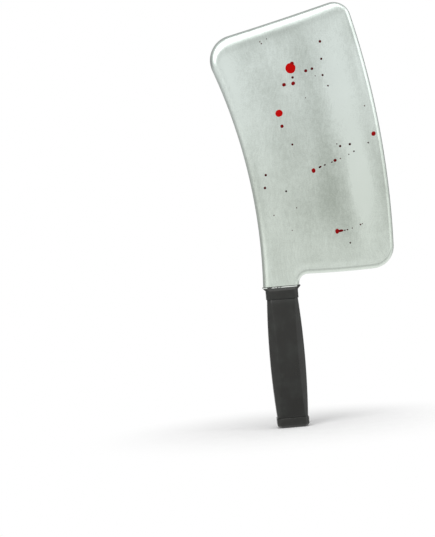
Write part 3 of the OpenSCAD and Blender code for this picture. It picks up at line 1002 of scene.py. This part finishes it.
class CLEAVER_OT_collar(bpy.types.Operator):
    """Models the black collar that the blade's neck stands on"""
    bl_idname = "cleaver.collar"
    bl_label = "Collar"

    def execute(self, context):
        g = context.scene.cleaver_grip
        w, t, total = end_sizes(g, g.step)
        top_w, top_t = COLLAR_HIGH.x, RIM_DEPTH + g.step
        lip = COLLAR_HIGH.z - g.lip_h
        turn_w, turn_t = lip - abs(top_w - w), lip - abs(top_t - t)
        low_turn, high_turn = min(turn_w, turn_t), max(turn_w, turn_t)
        share = (high_turn - turn_t) / (lip - turn_t) if turn_t < turn_w else 0
        levels = [(COLLAR_LOW.z, w, t, total), (low_turn, w, t, total),
                  (high_turn, w, t + (top_t - t) * share, total),
                  (lip, top_w, top_t, total), (COLLAR_HIGH.z, top_w, top_t, total)]
        piece = octagon_bar("collar", levels)
        soften(piece, COLLAR_ROUND)
        dress(piece, "black_plastic", "handle_collar", 30)
        return {"FINISHED"}


class CLEAVER_OT_cap(bpy.types.Operator):
    """Models the butt cap with its moulded dish"""
    bl_idname = "cleaver.cap"
    bl_label = "Butt cap"

    def execute(self, context):
        g = context.scene.cleaver_grip
        w, t, total = end_sizes(g, g.step)
        foot = (w - g.chamfer, t - g.chamfer, total - g.chamfer * math.sqrt(2))
        piece = octagon_bar("butt_end", [(CAP_HIGH.z, w, t, total),
                                         (CAP_LOW.z + g.chamfer, w, t, total),
                                         (CAP_LOW.z, *foot)])
        soften(piece, CAP_ROUND)
        open_piece(piece)
        select_where(piece, "faces", lambda f: f.normal.z < -FACING)
        bpy.ops.mesh.inset(thickness=DISH_RIM, depth=0)
        bpy.ops.mesh.inset(thickness=DISH_SLOPE, depth=-DISH_DEPTH)
        close_piece()
        dress(piece, "black_plastic", "butt_cap", 30)
        return {"FINISHED"}


class CLEAVER_OT_screws(bpy.types.Operator):
    """Models one cross-head screw and copies it to each counterbore"""
    bl_idname = "cleaver.screws"
    bl_label = "Screws"

    def execute(self, context):
        g = context.scene.cleaver_grip
        seat, crown = SCREW_HIGH.y - g.head_h, SCREW_HIGH.y
        clear_selection()
        bpy.ops.mesh.primitive_cylinder_add(vertices=40, radius=g.head_d / 2, depth=g.head_h,
                                            location=(0, (seat + crown) / 2, 0),
                                            rotation=(math.pi / 2, 0, 0))
        piece = start_piece("screw")
        close_piece()
        bpy.ops.object.transform_apply(location=True, rotation=True, scale=True)
        open_piece(piece)
        bevel_where(piece, lambda v: abs(v.co.y - crown) < TOUCHING, HEAD_ROUND, 4)
        select_where(piece, "faces", lambda f: f.normal.y < -FACING)
        bpy.ops.mesh.inset(thickness=(g.head_d - g.shank_d) / 2, depth=0)
        for way in (SCREW_LOW.y + SCREW_TIP - seat, -SCREW_TIP):
            bpy.ops.mesh.extrude_region_move(TRANSFORM_OT_translate={"value": (0, way, 0)})
        bpy.ops.transform.resize(value=(0.25, 1, 0.25), center_override=(0, SCREW_LOW.y, 0))
        close_piece()
        for turn in (0, math.pi / 2):
            clear_selection()
            bpy.ops.mesh.primitive_cube_add(size=1, location=(0, 0, 0))
            blade = start_piece("driver")
            mesh = editing(blade)
            for v in mesh.verts:
                half_long, up, half_wide = CROSS_FOOT if v.co.y < 0 else CROSS_TOP
                v.co = (math.copysign(half_long, v.co.x), crown + up,
                        math.copysign(half_wide, v.co.z))
            update(blade)
            select_all()
            bpy.ops.transform.rotate(value=turn, orient_axis="Y", center_override=(0, 0, 0))
            close_piece()
            cut(piece, blade)
        copies = []
        for index, z in enumerate(screw_heights(g)):
            made = piece.copy()
            made.data = piece.data.copy()
            context.collection.objects.link(made)
            made.data.transform(Matrix.Translation((0, 0, z))
                                @ Matrix.Rotation(math.radians(12 + 37 * index), 4, "Y"))
            copies.append(made)
        bpy.data.objects.remove(piece)
        dress(join(copies, "grip_screws"), "screw_steel", "handle_screws", 30)
        return {"FINISHED"}


class CLEAVER_OT_drops(bpy.types.Operator):
    """Lays the glossy paint drops on the front face"""
    bl_idname = "cleaver.drops"
    bl_label = "Paint drops"

    def execute(self, context):
        s = context.scene.cleaver_blade
        tree = side_tree(blade_outline(s))
        made = [paint_drop(s, tree, x * MM, z * MM, r * MM, stretch, lean,
                           min(max(r * DROP_RISE, DROP_LEAST), DROP_LIMIT) * MM)
                for x, z, r, stretch, lean in DROPS]
        finish_piece(join(made, "paint_drops"), material("drop_paint"), 50)
        return {"FINISHED"}


# Light of the room and its walls in gloss, and of the plain surroundings on the matt parts
ROOM_LIGHT, WALL_LIGHT, PLAIN_LIGHT = 0.30, 0.60, 0.55


class CLEAVER_OT_stage(bpy.types.Operator):
    """Lays the pale floor and sets the soft light, the white surroundings and the camera"""
    bl_idname = "cleaver.stage"
    bl_label = "Stage, light and camera"

    def execute(self, context):
        t = context.scene.cleaver_stage
        self.floor(t)
        self.surroundings(context.scene)
        self.lamp("key_light", (-1.1, -1.5, 1.5), (0, 0, 0.2), (1.3, 1.3), 16)
        self.lamp("top_light", (0.25, -0.45, 1.75), (0, 0, 0.25), (1.5, 1.1), 9)
        self.lamp("side_light", (1.5, -0.6, 0.6), (0, 0, 0.2), (0.8, 1.4), 2)
        self.camera(context.scene, t)
        context.scene.view_settings.view_transform = "Standard"
        return {"FINISHED"}

    def floor(self, t):
        clear_selection()
        bpy.ops.mesh.primitive_plane_add(size=t.floor_size, location=(0, 0, CAD_BOX[0][2]))
        floor = bpy.context.object
        floor.name = floor.data.name = "floor"
        made, tree, shader, place = new_material("floor_paint", tuple(t.floor))
        grain = noise_at(tree, place, 40, 3.0)
        socket(tree, blend(tree, ramp(tree, grain, 0.3, 0.7), tuple(t.floor),
                           tuple(c * 1.02 for c in t.floor)), shader.inputs["Base Color"])
        shader.inputs["Roughness"].default_value = 0.9
        shader.inputs["Specular IOR Level"].default_value = 0.1
        # Far from the cleaver the floor turns into the white of the surroundings
        far = ramp(tree, vector(tree, "LENGTH", in0=place)["Value"], 0.05, 0.24)
        seen = add(tree, "ShaderNodeLightPath").outputs
        glow = add(tree, "ShaderNodeEmission", Color=(1.0, 1.0, 1.0), Strength=1.0).outputs[0]
        mixed = add(tree, "ShaderNodeMixShader", in0=times(tree, far, seen["Is Camera Ray"]),
                    in1=shader.outputs[0], in2=glow).outputs[0]
        # In gloss it glows as painted reflection: pale, with a painted dark strip close in front of
        # the cleaver, dark sides behind it and a darker far end
        lies = parts(tree, place)
        ahead, aside = lies["Y"], maths(tree, "ABSOLUTE", lies["X"])
        pale = plus(tree, ramp(tree, ahead, -1.2, -3.0, 0.95, 0.50),
                    ramp(tree, ahead, -0.05, 0.05, 0.0, 0.18))
        near = times(tree, ramp(tree, ahead, -0.02, -0.06, 0, 0.28),
                     ramp(tree, ahead, -0.30, -0.14))
        sides = times(tree, ramp(tree, aside, 0.25, 0.7, 0, 0.55), ramp(tree, ahead, 0.1, 0.5))
        shine = maths(tree, "SUBTRACT", maths(tree, "SUBTRACT", pale, near), sides)
        sheen = add(tree, "ShaderNodeEmission", Color=(1.0, 1.0, 1.0), Strength=shine).outputs[0]
        mixed = add(tree, "ShaderNodeMixShader", in0=seen["Is Glossy Ray"], in1=mixed,
                    in2=sheen).outputs[0]
        socket(tree, mixed, tree.nodes["Material Output"].inputs["Surface"])
        floor.data.materials.append(made)
        clear_selection()

    def surroundings(self, scene):
        """White where the camera looks; for gloss, a room with soft boxes and darker corners."""
        world = bpy.data.worlds.new("soft_studio")
        scene.world = world
        world.use_nodes = True
        tree = world.node_tree
        way = parts(tree, add(tree, "ShaderNodeTexCoord").outputs["Generated"])
        x, y, z = way["X"], way["Y"], way["Z"]
        behind = ramp(tree, y, 0.80, 0.97, 0, 0.05)
        beside = ramp(tree, y, 0.60, 0.40)
        front = ramp(tree, y, -0.35, -0.9)
        left = times(tree, ramp(tree, x, -0.30, -0.65, 0, 1.40), ramp(tree, y, 0.30, -0.35))
        right = times(tree, ramp(tree, x, 0.30, 0.55), beside)
        walls = maths(tree, "MAXIMUM", maths(tree, "MAXIMUM", front, left), right)
        above = times(tree, ramp(tree, z, 0.14, 0.34, 0, 1.5),
                      times(tree, ramp(tree, y, -0.24, -0.56), ramp(tree, x, 0.02, -0.14)))
        strip = times(tree, times(tree, ramp(tree, y, -0.70, -0.35), beside),
                      times(tree, ramp(tree, x, 0.55, 0.80),
                            ramp(tree, z, 0.10, 0.40, 0.14, 0.9)))
        ridge = times(tree, ramp(tree, z, 0.2, 0.5, 0, 0.12), ramp(tree, y, -0.5, -0.2))
        room = ROOM_LIGHT
        for part in (times(tree, walls, WALL_LIGHT), behind, above, strip, ridge):
            room = plus(tree, room, part)
        paths = add(tree, "ShaderNodeLightPath").outputs
        shown = times(tree, paths["Is Glossy Ray"], room)
        shown = plus(tree, shown, maths(tree, "MAXIMUM", paths["Is Camera Ray"],
                                                paths["Is Transmission Ray"]))
        plain = times(tree, paths["Is Diffuse Ray"], PLAIN_LIGHT)
        socket(tree, (1.0, 1.0, 1.0), tree.nodes["Background"].inputs["Color"])
        socket(tree, plus(tree, shown, plain), tree.nodes["Background"].inputs["Strength"])

    def lamp(self, name, place, aim, size, power):
        made = bpy.data.objects.new(name, bpy.data.lights.new(name, "AREA"))
        bpy.context.scene.collection.objects.link(made)
        made.data.shape = "RECTANGLE"
        made.data.size, made.data.size_y = size
        made.data.energy = power
        made.location = place
        made.rotation_euler = (Vector(aim) - Vector(place)).to_track_quat("-Z", "Y").to_euler()

    def camera(self, scene, t):
        made = bpy.data.objects.new("camera", bpy.data.cameras.new("camera"))
        scene.collection.objects.link(made)
        made.data.lens = t.lens
        made.data.sensor_width = 36
        c, s = math.cos(t.tilt), math.sin(t.tilt)
        turn = Matrix(((c, s, 0), (0, 0, -1), (-s, c, 0)))
        made.matrix_world = Matrix.Translation((t.aim_x, -t.distance, t.aim_z)) @ turn.to_4x4()
        scene.camera = made


class CLEAVER_PT_panel(bpy.types.Panel):
    bl_idname = "CLEAVER_PT_panel"
    bl_label = "Stage cleaver"
    bl_space_type = "VIEW_3D"
    bl_region_type = "UI"
    bl_category = "Cleaver"

    def draw(self, context):
        for group_name, label, steps in SECTIONS:
            box = self.layout.box()
            box.label(text=label)
            settings = getattr(context.scene, group_name)
            for key in settings.__annotations__:
                box.prop(settings, key)
            for step in steps:
                box.operator(step.bl_idname)


SETTINGS = {"cleaver_blade": BladeSettings, "cleaver_grip": GripSettings,
            "cleaver_finish": FinishSettings, "cleaver_stage": StageSettings}
SECTIONS = (("cleaver_blade", "Blade", (CLEAVER_OT_blade, CLEAVER_OT_core)),
            ("cleaver_grip", "Grip", (CLEAVER_OT_grip, CLEAVER_OT_collar, CLEAVER_OT_cap,
                                      CLEAVER_OT_screws)),
            ("cleaver_finish", "Finish", (CLEAVER_OT_drops,)),
            ("cleaver_stage", "Stage", (CLEAVER_OT_stage,)))
STEPS = [step for _, _, steps in SECTIONS for step in steps]


def register():
    for made in (*SETTINGS.values(), *STEPS, CLEAVER_PT_panel):
        bpy.utils.register_class(made)
    for name, kind in SETTINGS.items():
        setattr(bpy.types.Scene, name, bpy.props.PointerProperty(type=kind))


def unregister():
    for name in SETTINGS:
        delattr(bpy.types.Scene, name)
    for made in (CLEAVER_PT_panel, *reversed(STEPS), *SETTINGS.values()):
        bpy.utils.unregister_class(made)


def main():
    register()
    for step in STEPS:
        section, name = step.bl_idname.split(".")
        getattr(getattr(bpy.ops, section), name)()


if __name__ == "__main__":
    main()
